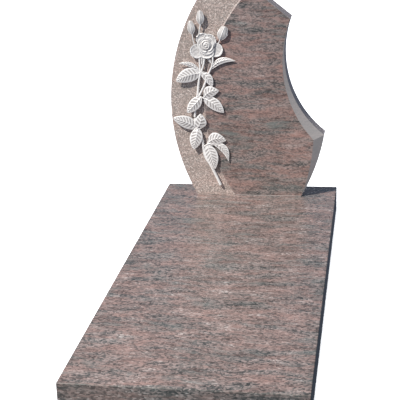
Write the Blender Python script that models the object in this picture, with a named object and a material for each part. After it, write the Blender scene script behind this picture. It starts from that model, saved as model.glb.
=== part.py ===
# Grave monument: a flat ledger slab, an upright headstone with a bite cut out
# of its right side, and a cast rose spray fixed to the headstone's face.
# Metres, +Z up. The origin is the centre of the slab's underside, +Y runs
# towards the headstone, and the monument faces -Y.

import math

import bmesh
import bpy
from mathutils import Vector

# Ledger slab
SLAB_WIDTH = 0.800
SLAB_LENGTH = 2.000
SLAB_THICKNESS = 0.100
SLAB_ARRIS = 0.004              # rounded top and corner edges
JOINT_GAP = 0.0003              # clearance between pieces that touch

# Headstone outline, x from the slab's centre line, z from the slab's top
STONE_THICKNESS = 0.100
STONE_BACK_MARGIN = 0.055       # slab left showing behind the stone
BASE_WIDTH = 0.480
BASE_OFFSET = 0.002             # foot's middle, right of the centre line
LEFT_RADIUS = 0.902
LEFT_BELLY_HEIGHT = 0.433       # height of the left side's widest point
RIGHT_RADIUS = 0.888
RIGHT_BELLY_HEIGHT = 0.442
SHOULDER_X = 0.1966             # corner between the top edge and the bite
SHOULDER_HEIGHT = 0.818
TOP_SLOPE = math.radians(38.9)  # fall of the top edge to the shoulder
BITE_RADIUS = 0.473
BITE_FOOT_HEIGHT = 0.289        # lower end of the bite, on the right side
ARC_STEP = 0.030                # length of one facet along an arc

# Bevel along the bite and the lower right side: nothing at both ends,
# widest at the foot of the bite, where its two runs meet in a mitre
BEVEL_WIDTH = 0.044
BEVEL_DEPTH = 0.021
BEVEL_UPPER_RADIUS = 0.529
BEVEL_LOWER_RADIUS = 0.903

# Sunk matte band along the left side, and the sloped edge of the panel
BAND_WIDTH = 0.157
BAND_DROP = 0.007               # band edge's centre, below the left side's
BAND_RECESS = 0.006
PANEL_EDGE = 0.005

# Rose spray: its layout is in shares of its height, from the stem's foot
SPRAY_HEIGHT = 0.800
SPRAY_FOOT_HEIGHT = 0.0438
SPRAY_FOOT_INSET = 0.035        # foot's distance from the panel's edge
STEM_RADIUS = 0.0054
STEM_FOOT_RADIUS = 0.0070
BRANCH_RADIUS = 0.0050
TWIG_RADIUS = 0.0031
LEAF_THICKNESS = 0.0030
RIM_HEIGHT = 0.0012             # raised rim of a leaf or petal
RIB_HEIGHT = 0.0016             # raised middle rib of a leaf
VEIN_HEIGHT = 0.0010            # ripple of a leaf along its side veins
PETAL_THICKNESS = 0.0032
PETAL_RIM_HEIGHT = 0.0012
OUTER_PETAL_BASE = 0.0065       # petal bases in front of the panel
INNER_PETAL_BASE = 0.0115
PETAL_STEP = 0.0012             # each petal's base in front of the one before
OUTER_PETAL_HOLLOW = 0.0025
INNER_PETAL_HOLLOW = 0.0040
CUP_WALL = 0.0030               # wall of the rose's rolled inner petals
CUP_WALL_HEIGHT = 0.0080
CUP_WALL_DIP = 0.0030           # how far a rolled petal's ends drop
ROSE_DEPTH = 0.025              # rose's middle in front of the panel
ROSE_HEART_RADIUS = 0.026
HEART_WAIST_HEIGHT = 0.008
HEART_RIM_DROP = 0.0105         # rose's depth less the heart's rim, side and top
HEART_SIDE_DROP = 0.0070
HEART_TOP_DROP = 0.0050
TUBE_SIDES = 7
LEAF_ROWS = 9
PETAL_ROWS = 8
LEAF_ARCH = 0.10                # rise of a leaf's middle, in shares of its width
BLADE_COLUMNS = (-1.0, -0.88, -0.45, 0.0, 0.45, 0.88, 1.0)
BLADE_SWEEP = 0.07              # how far a blade's edges run ahead of its rib
ROLL_FACET_DEGREES = 26
ROLL_CLOSING = 0.16             # share by which a rolled petal winds inwards
ROLL_LEAN = 0.94                # rolled petal's rim, in shares of its foot

# Leaves: base u, v, tip u, v, width, bend to the left of base to tip, all in
# shares (bend in shares of the leaf's length), then the distances in front
# of the panel at the base and at the tip, in metres
LEAVES = {
    "upper_left_slender": (-0.108, 0.674, -0.228, 0.722, 0.027, -0.13, 0.004, 0.009),
    "upper_left_broad": (-0.107, 0.666, -0.247, 0.621, 0.080, -0.07, 0.005, 0.011),
    "upper_centre": (-0.106, 0.672, -0.041, 0.588, 0.048, 0.12, 0.008, 0.0085),
    "upper_right_slender": (-0.046, 0.690, 0.090, 0.736, 0.035, 0.18, 0.008, 0.0075),
    "middle_right": (-0.092, 0.524, -0.005, 0.568, 0.066, 0.17, 0.008, 0.0075),
    "middle_right_low": (-0.093, 0.522, 0.020, 0.440, 0.066, 0.06, 0.006, 0.0075),
    "middle_left": (-0.107, 0.529, -0.189, 0.438, 0.064, 0.00, 0.006, 0.011),
    "lower_left": (-0.134, 0.348, -0.271, 0.406, 0.072, -0.05, 0.004, 0.011),
    "lower_round": (-0.138, 0.345, -0.110, 0.432, 0.070, -0.12, 0.007, 0.012),
    "lower_down": (-0.130, 0.347, -0.158, 0.223, 0.072, 0.00, 0.006, 0.012),
    "foot_right": (-0.080, 0.254, 0.029, 0.278, 0.072, 0.20, 0.007, 0.0075),
    "foot_drooping": (-0.050, 0.259, 0.041, 0.157, 0.043, 0.20, 0.007, 0.0075),
    "foot_broad": (-0.081, 0.250, -0.037, 0.108, 0.074, 0.03, 0.006, 0.011),
    "sepal_left": (-0.104, 0.775, -0.100, 0.715, 0.014, 0.10, 0.005, 0.008),
    "sepal_right": (-0.079, 0.766, -0.046, 0.722, 0.018, 0.10, 0.0045, 0.008),
}

# Stems: list of (u, v, distance in front of the panel), thin end last
STEM_PATH = [
    (-0.009, 0.009, 0.0045),
    (-0.039, 0.074, 0.0022),
    (-0.068, 0.133, 0.0014),
    (-0.093, 0.175, 0.0010),
    (-0.107, 0.263, 0.001),
    (-0.120, 0.317, 0.001),
    (-0.143, 0.375, 0.001),
    (-0.146, 0.436, 0.001),
    (-0.139, 0.489, 0.001),
    (-0.129, 0.534, 0.002),
    (-0.119, 0.612, 0.002),
    (-0.106, 0.676, 0.003),
]
BRANCHES = {
    "to_rose_left": [(-0.107, 0.668, 0.003), (-0.110, 0.710, 0.0045), (-0.111, 0.775, 0.003)],
    "to_rose_middle": [(-0.106, 0.664, 0.003), (-0.090, 0.710, 0.006), (-0.076, 0.785, 0.0045)],
    "to_rose_right": [
        (-0.119, 0.534, 0.004),
        (-0.092, 0.586, 0.007),
        (-0.056, 0.674, 0.007),
        (-0.040, 0.710, 0.008),
        (-0.034, 0.785, 0.006),
    ],
}
TWIGS = {
    "foot_twig": [
        (-0.103, 0.232, 0.001),
        (-0.087, 0.247, 0.006),
        (-0.066, 0.257, 0.008),
        (-0.040, 0.258, 0.008),
    ],
    "middle_twig": [(-0.131, 0.526, 0.002), (-0.112, 0.530, 0.006), (-0.084, 0.517, 0.009)],
    "bud_left_stem": [(-0.118, 0.800, 0.005), (-0.137, 0.830, 0.006), (-0.148, 0.892, 0.006)],
    "bud_middle_stem": [(-0.105, 0.850, 0.006), (-0.108, 0.887, 0.007), (-0.098, 0.948, 0.0075)],
    "bud_right_stem": [(-0.016, 0.800, 0.0036), (-0.003, 0.830, 0.005), (0.011, 0.862, 0.010)],
}

# Buds: base u, v, tip u, v, width in shares, distance in front of the panel,
# then the width of the blunt crown as a share of the bud's width
BUDS = {
    "bud_left": (-0.147, 0.884, -0.157, 0.965, 0.041, 0.006, 0.34),
    "bud_middle": (-0.098, 0.938, -0.100, 1.022, 0.043, 0.0075, 0.30),
    "bud_right": (0.008, 0.853, 0.041, 0.933, 0.054, 0.0100, 0.46),
}
BUD_DEPTH_SHARE = 0.42          # bud's depth as a share of its width
BUD_FOOT_SHARE = 0.16           # bud's width at its stem, in shares
BUD_FULL_AT = 0.42              # where along its length a bud is widest
BUD_FOLD = 0.88                 # sunk part of a bud's wound petals
BUD_TWIST = 0.8                 # sides by which the petals wind round
BUD_ROWS = 8
BUD_SIDES = 12

# Rose: middle u, v, then petals by direction in degrees, length and width in
# shares, and the distance of their tips in front of the panel in metres
ROSE_MIDDLE = (-0.069, 0.826)
OUTER_PETALS = [
    (-28, 0.097, 0.080, 0.0085),
    (213, 0.103, 0.080, 0.0085),
    (122, 0.076, 0.074, 0.0110),
    (57, 0.069, 0.076, 0.0110),
    (270, 0.074, 0.084, 0.0110),
]
INNER_PETALS = [
    (160, 0.048, 0.070, 0.017),
    (20, 0.047, 0.070, 0.017),
    (270, 0.050, 0.074, 0.017),
]
ROLLED_PETALS = [
    (0.0230, 40, 250, 0.0000),
    (0.0175, 170, 260, 0.0008),
    (0.0125, 300, 250, 0.0016),
    (0.0078, 80, 270, 0.0024),
]


def clear_scene():
    for obj in list(bpy.data.objects):
        bpy.data.objects.remove(obj, do_unlink=True)


def make_material(name, colour, roughness, metallic):
    material = bpy.data.materials.new(name)
    material.use_nodes = True
    shader = material.node_tree.nodes["Principled BSDF"]
    shader.inputs["Base Color"].default_value = (*colour, 1.0)
    shader.inputs["Roughness"].default_value = roughness
    shader.inputs["Metallic"].default_value = metallic
    material.diffuse_color = (*colour, 1.0)
    return material


def object_from_bmesh(bm, name, material=None):
    bmesh.ops.recalc_face_normals(bm, faces=bm.faces)
    mesh = bpy.data.meshes.new(name)
    bm.to_mesh(mesh)
    bm.free()
    obj = bpy.data.objects.new(name, mesh)
    bpy.context.scene.collection.objects.link(obj)
    if material:
        mesh.materials.append(material)
    return obj


def circle_centre(start, end, radius, side):
    # Centre of the circle through two points, on the left (+1) or the right
    # (-1) of the way from start to end
    chord = end - start
    rise = math.sqrt(radius ** 2 - (chord.length / 2) ** 2)
    across = Vector((-chord.y, chord.x)).normalized()
    return (start + end) / 2 + across * rise * side


def arc_count(start, end):
    return max(2, math.ceil((end - start).length / ARC_STEP))


def arc_points(centre, start, end, count):
    # Points on the short arc from start to end, both included
    first = start - centre
    last = end - centre
    radius = first.length
    angle = math.atan2(first.y, first.x)
    turn = math.atan2(last.y, last.x) - angle
    turn = (turn + math.pi) % (2 * math.pi) - math.pi
    steps = [angle + turn * i / count for i in range(count + 1)]
    return [centre + Vector((math.cos(a), math.sin(a))) * radius for a in steps]


def meet_circle(point, direction, centre, radius):
    # Where a line that starts inside a circle leaves it
    offset = point - centre
    b = offset.dot(direction)
    c = offset.length_squared - radius ** 2
    return point + direction * (math.sqrt(b * b - c) - b)


def left_centre():
    foot = BASE_OFFSET - BASE_WIDTH / 2
    return Vector((foot + math.sqrt(LEFT_RADIUS ** 2 - LEFT_BELLY_HEIGHT ** 2), LEFT_BELLY_HEIGHT))


def right_centre():
    foot = BASE_OFFSET + BASE_WIDTH / 2
    return Vector((foot - math.sqrt(RIGHT_RADIUS ** 2 - RIGHT_BELLY_HEIGHT ** 2), RIGHT_BELLY_HEIGHT))


def band_centre():
    return left_centre() - Vector((0, BAND_DROP))


def circle_left_x(centre, radius, height):
    return centre.x - math.sqrt(radius ** 2 - (height - centre.y) ** 2)


def panel_face_y():
    return SLAB_LENGTH / 2 - STONE_BACK_MARGIN - STONE_THICKNESS


def build_slab(material):
    bm = bmesh.new()
    bmesh.ops.create_cube(bm, size=1.0)
    bmesh.ops.scale(bm, vec=(SLAB_WIDTH, SLAB_LENGTH, SLAB_THICKNESS), verts=bm.verts)
    bmesh.ops.translate(bm, vec=(0, 0, SLAB_THICKNESS / 2), verts=bm.verts)
    edges = [e for e in bm.edges if max(v.co.z for v in e.verts) > SLAB_THICKNESS / 2]
    bmesh.ops.bevel(bm, geom=edges, offset=SLAB_ARRIS, segments=3, profile=0.5, affect="EDGES")
    slab = object_from_bmesh(bm, "ledger_slab", material)
    return slab


def bevel_corner(tusk, bite_middle, side_middle):
    # Inner corner of the bevel's mitre, on the line that halves the corner
    from_bite = (tusk - bite_middle).normalized()
    from_side = (side_middle - tusk).normalized()
    half = (from_bite + from_side).normalized()
    return tusk + half * (BEVEL_WIDTH / half.dot(from_bite))


def fill_between(bm, one, two):
    # Triangles between two rows of vertices that both run upwards
    i = 0
    j = 0
    while i < len(one) - 1 or j < len(two) - 1:
        next_one = one[i + 1].co.z if i < len(one) - 1 else math.inf
        next_two = two[j + 1].co.z if j < len(two) - 1 else math.inf
        if next_one <= next_two:
            corners = (one[i], two[j], one[i + 1])
            i += 1
        else:
            corners = (one[i], two[j], two[j + 1])
            j += 1
        if len(set(corners)) == 3:
            bm.faces.new(corners)


def build_headstone(material):
    front_y = panel_face_y()
    back_y = front_y + STONE_THICKNESS
    foot_z = SLAB_THICKNESS + JOINT_GAP

    left = left_centre()
    right = right_centre()
    band = band_centre()
    panel_radius = LEFT_RADIUS - BAND_WIDTH
    shoulder = Vector((SHOULDER_X, SHOULDER_HEIGHT))
    up_left = Vector((-math.cos(TOP_SLOPE), math.sin(TOP_SLOPE)))
    peak = meet_circle(shoulder, up_left, left, LEFT_RADIUS)
    foot_left = Vector((BASE_OFFSET - BASE_WIDTH / 2, 0))
    foot_right = Vector((BASE_OFFSET + BASE_WIDTH / 2, 0))
    tusk_reach = math.sqrt(RIGHT_RADIUS ** 2 - (BITE_FOOT_HEIGHT - right.y) ** 2)
    tusk = Vector((right.x + tusk_reach, BITE_FOOT_HEIGHT))
    bite = circle_centre(shoulder, tusk, BITE_RADIUS, 1)

    # Front edge of the raised panel, and the line where its sloped edge
    # meets the sunk band
    edge_top = meet_circle(shoulder, up_left, band, panel_radius)
    edge_foot = Vector((circle_left_x(band, panel_radius, 0), 0))
    sunk_radius = panel_radius + PANEL_EDGE
    sunk_top = meet_circle(shoulder, up_left, band, sunk_radius)
    sunk_foot = Vector((circle_left_x(band, sunk_radius, 0), 0))
    edge_count = arc_count(edge_foot, edge_top)
    edge_line = arc_points(band, edge_foot, edge_top, edge_count)
    sunk_line = arc_points(band, sunk_foot, sunk_top, edge_count)

    # Bevel's outer lines, on the outline, and its inner lines, on the face
    corner = bevel_corner(tusk, bite, right)
    upper_middle = circle_centre(shoulder, corner, BEVEL_UPPER_RADIUS, 1)
    lower_middle = circle_centre(corner, foot_right, BEVEL_LOWER_RADIUS, -1)
    bite_count = arc_count(shoulder, tusk)
    side_count = arc_count(tusk, foot_right)
    bite_line = arc_points(bite, shoulder, tusk, bite_count)
    side_line = arc_points(right, tusk, foot_right, side_count)
    outer_line = bite_line + side_line[1:]
    upper_line = arc_points(upper_middle, shoulder, corner, bite_count)
    lower_line = arc_points(lower_middle, corner, foot_right, side_count)
    inner_line = upper_line + lower_line[1:]
    widest = (tusk - corner).length
    depths = [BEVEL_DEPTH * (a - b).length / widest for a, b in zip(outer_line, inner_line)]

    bm = bmesh.new()

    def vertex(point, y):
        return bm.verts.new((point.x, y, foot_z + point.y))

    left_points = arc_points(left, foot_left, peak, arc_count(foot_left, peak))
    band_y = front_y + BAND_RECESS
    left_front = [vertex(p, band_y) for p in left_points]
    sunk_front = [vertex(p, band_y) for p in sunk_line]
    edge_front = [vertex(p, front_y) for p in edge_line]
    inner_front = [vertex(p, front_y) for p in inner_line]
    outer_front = [inner_front[0]]
    for point, depth in zip(outer_line[1:-1], depths[1:-1]):
        outer_front.append(vertex(point, front_y + depth))
    outer_front.append(inner_front[-1])

    # Flat faces are filled between two lines that both run up from the foot
    shoulder_up = inner_front[::-1]
    outline_up = outer_front[::-1]
    left_rear = [bm.verts.new((v.co.x, back_y, v.co.z)) for v in left_front]
    outline_rear = [bm.verts.new((v.co.x, back_y, v.co.z)) for v in outline_up]
    fill_between(bm, left_front, sunk_front)
    fill_between(bm, sunk_front, edge_front)
    fill_between(bm, edge_front, shoulder_up)
    fill_between(bm, shoulder_up, outline_up)
    fill_between(bm, outline_rear, left_rear)
    fill_between(bm, left_rear, left_front)
    fill_between(bm, outline_up, outline_rear)
    under = [left_front[0], sunk_front[0], edge_front[0], outline_up[0]]
    bm.faces.new(under + [outline_rear[0], left_rear[0]])
    above = [left_front[-1], sunk_front[-1], edge_front[-1], outline_up[-1]]
    bm.faces.new(above + [outline_rear[-1], left_rear[-1]])
    bmesh.ops.triangulate(bm, faces=bm.faces)
    stone = object_from_bmesh(bm, "headstone", material)
    stone.data.shade_smooth()
    stone.data.set_sharp_from_angle(angle=math.radians(12))
    return stone


def spray_foot():
    edge = circle_left_x(band_centre(), LEFT_RADIUS - BAND_WIDTH, SPRAY_FOOT_HEIGHT)
    return Vector((edge - SPRAY_FOOT_INSET, SPRAY_FOOT_HEIGHT))


def spray_point(u, v, out):
    foot = spray_foot()
    x = foot.x + u * SPRAY_HEIGHT
    z = SLAB_THICKNESS + JOINT_GAP + foot.y + v * SPRAY_HEIGHT
    return Vector((x, panel_face_y() - out, z))


def smooth_path(points, steps):
    # Catmull-Rom curve through the points
    ends = [points[0] * 2 - points[1]] + points + [points[-1] * 2 - points[-2]]
    path = []
    for i in range(1, len(ends) - 2):
        p0, p1, p2, p3 = ends[i - 1:i + 3]
        for k in range(steps):
            t = k / steps
            middle = (p2 - p0) * t + (2 * p0 - 5 * p1 + 4 * p2 - p3) * t ** 2
            path.append((2 * p1 + middle + (3 * p1 - p0 - 3 * p2 + p3) * t ** 3) / 2)
    path.append(points[-1])
    return path


def build_tube(name, stations, start_radius, end_radius, steps):
    path = smooth_path([spray_point(*s) for s in stations], steps)
    bm = bmesh.new()
    rings = []
    for i, point in enumerate(path):
        ahead = path[min(i + 1, len(path) - 1)] - path[max(i - 1, 0)]
        along = ahead.normalized()
        out = Vector((0, -1, 0))
        side = along.cross(out).normalized()
        out = side.cross(along)
        radius = start_radius + (end_radius - start_radius) * i / (len(path) - 1)
        ring = []
        for k in range(TUBE_SIDES):
            angle = 2 * math.pi * (k + 0.5) / TUBE_SIDES
            reach = side * math.cos(angle) + out * math.sin(angle)
            ring.append(bm.verts.new(point + reach * radius))
        rings.append(ring)
    for one, two in zip(rings, rings[1:]):
        for k in range(TUBE_SIDES):
            after = (k + 1) % TUBE_SIDES
            bm.faces.new((one[k], one[after], two[after], two[k]))
    bm.faces.new(rings[0])
    bm.faces.new(rings[-1])
    return object_from_bmesh(bm, name)


def leaf_outline(t):
    # Half width of a leaf along its length, widest before the middle
    return math.sin(math.pi * t ** 0.86) ** 0.70


def petal_outline(t):
    # Half width of a petal: it opens out, then closes in a round end
    widest = 0.62
    if t < widest:
        return math.sin(math.pi / 2 * t / widest) ** 0.8
    return math.sqrt(max(0.0, 1 - ((t - widest) / (1 - widest)) ** 2))


def build_blade(name, base, tip, width, bend, thickness, outline, surface, rows):
    # A closed blade between two points: its upper side has a raised rim and
    # follows surface(t, s), and its underside is plain
    along = tip - base
    length = along.length
    forward = along.normalized()
    side = Vector((0, -1, 0)).cross(forward).normalized()
    out = forward.cross(side)
    columns = BLADE_COLUMNS
    bm = bmesh.new()

    def place(t, s, height):
        sweep = t + BLADE_SWEEP * (1 - abs(2 * t - 1)) * abs(s)
        across = outline(t) * s * width / 2 + bend * length * 4 * t * (1 - t)
        return base + forward * sweep * length + side * across + out * height

    first = bm.verts.new(place(0, 0, 0))
    last = bm.verts.new(place(1, 0, 0))
    upper = []
    lower = []
    for i in range(1, rows):
        t = i / rows
        upper.append([bm.verts.new(place(t, s, surface(t, s, i))) for s in columns])
        lower.append([bm.verts.new(place(t, s, surface(t, s, 0) - thickness)) for s in (-1.0, 0.0, 1.0)])
    for one, two in zip(upper, upper[1:]):
        for k in range(len(columns) - 1):
            bm.faces.new((one[k], one[k + 1], two[k + 1], two[k]))
    for one, two in zip(lower, lower[1:]):
        for k in range(2):
            bm.faces.new((one[k + 1], one[k], two[k], two[k + 1]))
    for one, two, three, four in zip(upper, upper[1:], lower, lower[1:]):
        bm.faces.new((one[0], two[0], four[0], three[0]))
        bm.faces.new((two[-1], one[-1], three[-1], four[-1]))
    for point, top, bottom in ((first, upper[0], lower[0]), (last, upper[-1], lower[-1])):
        for k in range(len(columns) - 1):
            bm.faces.new((point, top[k], top[k + 1]))
        for k in range(2):
            bm.faces.new((point, bottom[k], bottom[k + 1]))
        bm.faces.new((point, top[0], bottom[0]))
        bm.faces.new((point, top[-1], bottom[-1]))
    bmesh.ops.triangulate(bm, faces=bm.faces)
    return object_from_bmesh(bm, name)


def leaf_surface(width):
    def surface(t, s, row):
        arch = LEAF_ARCH * width * math.sin(math.pi * t)
        if s == 0:
            return arch + RIB_HEIGHT
        if abs(s) > 0.95:
            return arch
        if abs(s) > 0.6:
            return arch + RIM_HEIGHT
        ripple = VEIN_HEIGHT if row % 2 else -VEIN_HEIGHT
        return arch + (ripple if row else 0)
    return surface


def build_leaf(name, base_u, base_v, tip_u, tip_v, width, bend, base_out, tip_out):
    base = spray_point(base_u, base_v, base_out)
    tip = spray_point(tip_u, tip_v, tip_out)
    span = width * SPRAY_HEIGHT
    surface = leaf_surface(span)
    return build_blade(name, base, tip, span, bend, LEAF_THICKNESS, leaf_outline, surface, LEAF_ROWS)


def petal_surface(curl):
    def surface(t, s, row):
        hollow = -curl * math.sin(math.pi * t) * (1 - s * s)
        rim = PETAL_RIM_HEIGHT if 0.6 < abs(s) < 0.95 else 0
        return hollow + rim
    return surface


def build_petal(name, degrees, length, width, tip_out, base_out, curl):
    angle = math.radians(degrees)
    u, v = ROSE_MIDDLE
    base = spray_point(u, v, base_out)
    tip_u = u + math.cos(angle) * length
    tip_v = v + math.sin(angle) * length
    tip = spray_point(tip_u, tip_v, tip_out)
    span = width * SPRAY_HEIGHT
    surface = petal_surface(curl)
    return build_blade(name, base, tip, span, 0.0, PETAL_THICKNESS, petal_outline, surface, PETAL_ROWS)


def build_rolled_petal(name, radius, start_degrees, turn_degrees, lift):
    # An upright wall that winds round the rose's middle and closes inwards
    middle = spray_point(*ROSE_MIDDLE, 0)
    steps = max(6, round(turn_degrees / ROLL_FACET_DEGREES))
    high = ROSE_DEPTH - CUP_WALL + lift
    low = high - CUP_WALL_HEIGHT
    bm = bmesh.new()
    rings = []
    for i in range(steps + 1):
        share = i / steps
        angle = math.radians(start_degrees + turn_degrees * share)
        reach = radius * (1 - ROLL_CLOSING * share)
        rim = reach * ROLL_LEAN
        top = high - CUP_WALL_DIP * abs(2 * share - 1) ** 3
        section = ((reach, low), (reach + CUP_WALL, low), (rim + CUP_WALL, top), (rim, top))
        ring = []
        for r, out in section:
            ring.append(bm.verts.new(middle + Vector((r * math.cos(angle), -out, r * math.sin(angle)))))
        rings.append(ring)
    for one, two in zip(rings, rings[1:]):
        for k in range(4):
            after = (k + 1) % 4
            bm.faces.new((one[k], one[after], two[after], two[k]))
    bm.faces.new(rings[0])
    bm.faces.new(rings[-1])
    bmesh.ops.triangulate(bm, faces=bm.faces)
    return object_from_bmesh(bm, name)


def build_turned(name, middle, profile, sides):
    # A body turned about the line that points straight out of the stone
    bm = bmesh.new()
    rings = []
    for radius, out in profile:
        ring = []
        for k in range(sides):
            angle = 2 * math.pi * k / sides
            reach = Vector((radius * math.cos(angle), -out, radius * math.sin(angle)))
            ring.append(bm.verts.new(middle + reach))
        rings.append(ring)
    for one, two in zip(rings, rings[1:]):
        for k in range(sides):
            after = (k + 1) % sides
            bm.faces.new((one[k], one[after], two[after], two[k]))
    bm.faces.new(rings[0])
    bm.faces.new(rings[-1])
    return object_from_bmesh(bm, name)


def build_heart():
    # Solid middle of the rose: its back rests on the sunk band
    middle = spray_point(*ROSE_MIDDLE, 0)
    rest = JOINT_GAP - BAND_RECESS
    profile = (
        (ROSE_HEART_RADIUS * 0.6, rest),
        (ROSE_HEART_RADIUS * 0.8, HEART_WAIST_HEIGHT),
        (ROSE_HEART_RADIUS, ROSE_DEPTH - HEART_RIM_DROP),
        (ROSE_HEART_RADIUS * 0.9, ROSE_DEPTH - HEART_SIDE_DROP),
        (ROSE_HEART_RADIUS * 0.3, ROSE_DEPTH - HEART_TOP_DROP),
    )
    return build_turned("rose_heart", middle, profile, 14)


def bud_outline(t, crown):
    # Half width of a bud: narrow at its stem, full below the middle, and
    # drawn in to a blunt crown
    if t < BUD_FULL_AT:
        rise = math.sin(math.pi / 2 * t / BUD_FULL_AT) ** 0.9
        return BUD_FOOT_SHARE + (1 - BUD_FOOT_SHARE) * rise
    fall = (t - BUD_FULL_AT) / (1 - BUD_FULL_AT)
    return 1 - (1 - crown) * fall ** 1.6


def build_bud(name, base_u, base_v, tip_u, tip_v, width, out_distance, crown):
    base = spray_point(base_u, base_v, out_distance)
    tip = spray_point(tip_u, tip_v, out_distance)
    length = (tip - base).length
    forward = (tip - base).normalized()
    side = Vector((0, -1, 0)).cross(forward).normalized()
    out = forward.cross(side)
    span = width * SPRAY_HEIGHT
    bm = bmesh.new()
    rings = []
    for i in range(BUD_ROWS + 1):
        t = i / BUD_ROWS
        swell = bud_outline(t, crown) * span / 2
        ring = []
        for k in range(BUD_SIDES):
            angle = 2 * math.pi * (k + BUD_TWIST * t) / BUD_SIDES
            fold = 1.0 if k % 3 == 0 else BUD_FOLD
            reach = side * math.cos(angle) + out * math.sin(angle) * BUD_DEPTH_SHARE
            ring.append(bm.verts.new(base + forward * length * t + reach * swell * fold))
        rings.append(ring)
    for one, two in zip(rings, rings[1:]):
        for k in range(BUD_SIDES):
            after = (k + 1) % BUD_SIDES
            bm.faces.new((one[k], one[after], two[after], two[k]))
    bm.faces.new(rings[0])
    bm.faces.new(rings[-1])
    bmesh.ops.triangulate(bm, faces=bm.faces)
    return object_from_bmesh(bm, name)


def build_spray_shapes():
    shapes = []
    for name, stations in BRANCHES.items():
        shapes.append(build_tube(name, stations, BRANCH_RADIUS, BRANCH_RADIUS * 0.8, 4))
    for name, stations in TWIGS.items():
        shapes.append(build_tube(name, stations, TWIG_RADIUS, TWIG_RADIUS * 0.85, 3))
    for name, sizes in LEAVES.items():
        shapes.append(build_leaf(name, *sizes))
    for name, sizes in BUDS.items():
        shapes.append(build_bud(name, *sizes))
    for i, (degrees, length, width, tip_out) in enumerate(OUTER_PETALS):
        name = f"outer_petal_{i + 1}"
        base_out = OUTER_PETAL_BASE + PETAL_STEP * i
        shapes.append(build_petal(name, degrees, length, width, tip_out, base_out, OUTER_PETAL_HOLLOW))
    for i, (degrees, length, width, tip_out) in enumerate(INNER_PETALS):
        name = f"inner_petal_{i + 1}"
        base_out = INNER_PETAL_BASE + PETAL_STEP * i
        shapes.append(build_petal(name, degrees, length, width, tip_out, base_out, INNER_PETAL_HOLLOW))
    for i, (radius, start, turn, lift) in enumerate(ROLLED_PETALS):
        shapes.append(build_rolled_petal(f"rolled_petal_{i + 1}", radius, start, turn, lift))
    shapes.append(build_heart())
    return shapes


def build_spray(material):
    # One casting: every shape is joined to the main stem by a union
    spray = build_tube("rose_ornament", STEM_PATH, STEM_FOOT_RADIUS, STEM_RADIUS, 3)
    spray.data.materials.append(material)
    shapes = bpy.data.collections.new("spray_shapes")
    bpy.context.scene.collection.children.link(shapes)
    for shape in build_spray_shapes():
        shape.data.materials.append(material)
        shape.hide_render = True
        shape.display_type = "WIRE"
        bpy.context.scene.collection.objects.unlink(shape)
        shapes.objects.link(shape)
    union = spray.modifiers.new("join_shapes", "BOOLEAN")
    union.operation = "UNION"
    union.operand_type = "COLLECTION"
    union.collection = shapes
    union.solver = "EXACT"
    return spray


def main():
    clear_scene()
    polished = make_material("polished_granite", (0.235, 0.180, 0.168), 0.22, 0.0)
    stone = make_material("granite_headstone", (0.250, 0.192, 0.178), 0.30, 0.0)
    silver = make_material("silver_cast_metal", (0.72, 0.72, 0.71), 0.38, 1.0)
    build_slab(polished)
    build_headstone(stone)
    build_spray(silver)


main()
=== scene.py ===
import math

import bpy
from mathutils import Matrix, Vector


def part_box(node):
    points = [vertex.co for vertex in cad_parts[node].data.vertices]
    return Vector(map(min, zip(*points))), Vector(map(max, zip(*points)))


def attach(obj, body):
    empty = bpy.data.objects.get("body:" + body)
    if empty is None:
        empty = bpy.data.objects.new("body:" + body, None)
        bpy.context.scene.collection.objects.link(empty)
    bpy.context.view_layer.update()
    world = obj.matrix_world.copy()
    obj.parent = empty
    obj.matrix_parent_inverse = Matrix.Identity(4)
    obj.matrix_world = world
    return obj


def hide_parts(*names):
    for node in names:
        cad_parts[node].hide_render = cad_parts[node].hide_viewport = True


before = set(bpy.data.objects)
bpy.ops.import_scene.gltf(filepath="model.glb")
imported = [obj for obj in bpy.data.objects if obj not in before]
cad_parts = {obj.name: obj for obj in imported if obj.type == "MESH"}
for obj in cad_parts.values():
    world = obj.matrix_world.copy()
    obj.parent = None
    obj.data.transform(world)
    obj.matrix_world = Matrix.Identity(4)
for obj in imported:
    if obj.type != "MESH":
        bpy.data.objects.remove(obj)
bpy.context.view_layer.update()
print("frame loaded", sorted(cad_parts))


def deselectAll():
    if bpy.context.object and bpy.context.object.mode != "OBJECT":
        bpy.ops.object.mode_set(mode="OBJECT")
    bpy.ops.object.select_all(action="DESELECT")


def pick(piece):
    deselectAll()
    piece.select_set(True)
    bpy.context.view_layer.objects.active = piece


def editing(piece, kind, chosen):
    # edit mode with only the faces or edges that chosen(element) says
    pick(piece)
    bpy.ops.object.mode_set(mode="EDIT")
    bpy.ops.mesh.select_mode(type=kind)
    bpy.ops.mesh.select_all(action="DESELECT")
    bpy.ops.object.mode_set(mode="OBJECT")
    items = piece.data.polygons if kind == "FACE" else piece.data.edges
    for item in items:
        item.select = chosen(item)
    bpy.ops.object.mode_set(mode="EDIT")


def settle(piece):
    # the place goes into the mesh, and the object sits at the origin
    pick(piece)
    bpy.ops.object.transform_apply(location=True, rotation=True, scale=True)
    return piece


def finishWith(piece, kind, **settings):
    modifier = piece.modifiers.new(kind.lower(), kind)
    for name, value in settings.items():
        setattr(modifier, name, value)
    pick(piece)
    bpy.ops.object.modifier_apply(modifier=modifier.name)
    return piece


def cutWith(piece, tool, operation="DIFFERENCE"):
    finishWith(piece, "BOOLEAN", object=tool, operation=operation, solver="EXACT")
    bpy.data.objects.remove(tool, do_unlink=True)
    return piece


def smoothPiece(piece, degrees):
    pick(piece)
    bpy.ops.object.shade_smooth_by_angle(angle=math.radians(degrees))


def coverWith(piece, finishes, kindOf):
    # each face gets the finish that kindOf(face) names
    order = list(finishes)
    for finish in finishes.values():
        piece.data.materials.append(finish)
    for face in piece.data.polygons:
        face.material_index = order.index(kindOf(face))


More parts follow.
